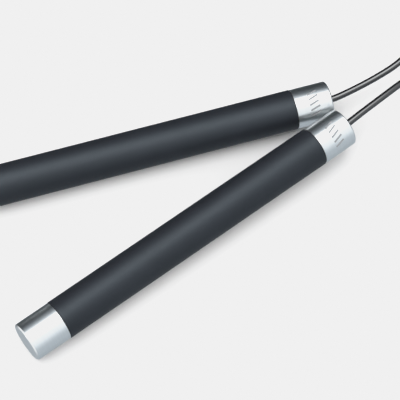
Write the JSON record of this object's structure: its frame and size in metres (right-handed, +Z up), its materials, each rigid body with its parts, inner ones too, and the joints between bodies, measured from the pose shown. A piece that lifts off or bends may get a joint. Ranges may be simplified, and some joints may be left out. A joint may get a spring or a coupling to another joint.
{
  "type": "jump rope",
  "caption": "Speed jump rope: slim round handles with soft grips and metal caps, ball bearings inside, spinning freely on one coated steel cable.",
  "frame": {"origin": "bottom centre of the two handles' box, on the floor, with the free cable, its coil and tie left out", "axes": "+X along the middle line of the V that the handles lie in, towards the cable; +Y to the left handle; +Z up"},
  "size_m": [0.2833, 0.0921, 0.0214],
  "materials": {
    "soft_touch_grip": "matte soft-touch coating, dark graphite",
    "satin_aluminium": "fine turned satin",
    "core_aluminium": "as drawn",
    "bearing_steel": "ground and polished",
    "spring_steel": "black oxide",
    "collar_brass": "turned",
    "cage_brass": "pressed",
    "seal_rubber": "matte",
    "cable_coating": "glossy black coating over stranded steel",
    "tie_fabric": "hook-and-loop strap"
  },
  "bodies": {
    "cable": {"right_spindle": "bearing_steel", "right_inner_spacer": "core_aluminium", "right_stop_collar": "collar_brass", "right_stop_screw": "spring_steel", "right_cable_end": "cable_coating", "right_cable_end_ferrule": "collar_brass", "right_front_bearing_inner_ring": "bearing_steel", "right_rear_bearing_inner_ring": "bearing_steel", "left_spindle": "bearing_steel", "left_inner_spacer": "core_aluminium", "left_stop_collar": "collar_brass", "left_stop_screw": "spring_steel", "left_cable_end": "cable_coating", "left_cable_end_ferrule": "collar_brass", "left_front_bearing_inner_ring": "bearing_steel", "left_rear_bearing_inner_ring": "bearing_steel", "cable_lead_right": "cable_coating", "cable_lead_left": "cable_coating", "cable_coil": "cable_coating", "coil_tie": "tie_fabric"},
    "right_handle": {"right_front_cap": "satin_aluminium", "right_grip_sleeve": "soft_touch_grip", "right_core_tube": "core_aluminium", "right_end_cap": "satin_aluminium", "right_front_seal_ring": "seal_rubber", "right_end_seal_ring": "seal_rubber", "right_retaining_ring": "spring_steel", "right_outer_spacer": "core_aluminium", "right_front_bearing_outer_ring": "bearing_steel", "right_front_bearing_shields": "bearing_steel", "right_rear_bearing_outer_ring": "bearing_steel", "right_rear_bearing_shields": "bearing_steel"},
    "right_ball_sets": {"right_front_bearing_balls": "bearing_steel", "right_front_bearing_cage": "cage_brass", "right_rear_bearing_balls": "bearing_steel", "right_rear_bearing_cage": "cage_brass"},
    "left_handle": {"left_front_cap": "satin_aluminium", "left_grip_sleeve": "soft_touch_grip", "left_core_tube": "core_aluminium", "left_end_cap": "satin_aluminium", "left_front_seal_ring": "seal_rubber", "left_end_seal_ring": "seal_rubber", "left_retaining_ring": "spring_steel", "left_outer_spacer": "core_aluminium", "left_front_bearing_outer_ring": "bearing_steel", "left_front_bearing_shields": "bearing_steel", "left_rear_bearing_outer_ring": "bearing_steel", "left_rear_bearing_shields": "bearing_steel"},
    "left_ball_sets": {"left_front_bearing_balls": "bearing_steel", "left_front_bearing_cage": "cage_brass", "left_rear_bearing_balls": "bearing_steel", "left_rear_bearing_cage": "cage_brass"}
  },
  "joints": [
    {"name": "right_handle_spin", "type": "hinge", "parent": "cable", "child": "right_handle", "pos_m": [0.07274, -0.00977, 0.0126], "axis": [0.984, 0.1762, 0.025], "continuous": true},
    {"name": "left_handle_spin", "type": "hinge", "parent": "cable", "child": "left_handle", "pos_m": [0.07451, 0.00977, 0.0088], "axis": [0.9843, -0.1762, 0], "continuous": true},
    {"name": "right_ball_set_spin", "type": "hinge", "parent": "cable", "child": "right_ball_sets", "pos_m": [0.07274, -0.00977, 0.0126], "axis": [0.984, 0.1762, 0.025], "continuous": true},
    {"name": "left_ball_set_spin", "type": "hinge", "parent": "cable", "child": "left_ball_sets", "pos_m": [0.07451, 0.00977, 0.0088], "axis": [0.9843, -0.1762, 0], "continuous": true}
  ],
  "couplings": [
    {"joint": "right_ball_set_spin", "follows": "right_handle_spin", "ratio": 0.6},
    {"joint": "left_ball_set_spin", "follows": "left_handle_spin", "ratio": 0.6}
  ]
}
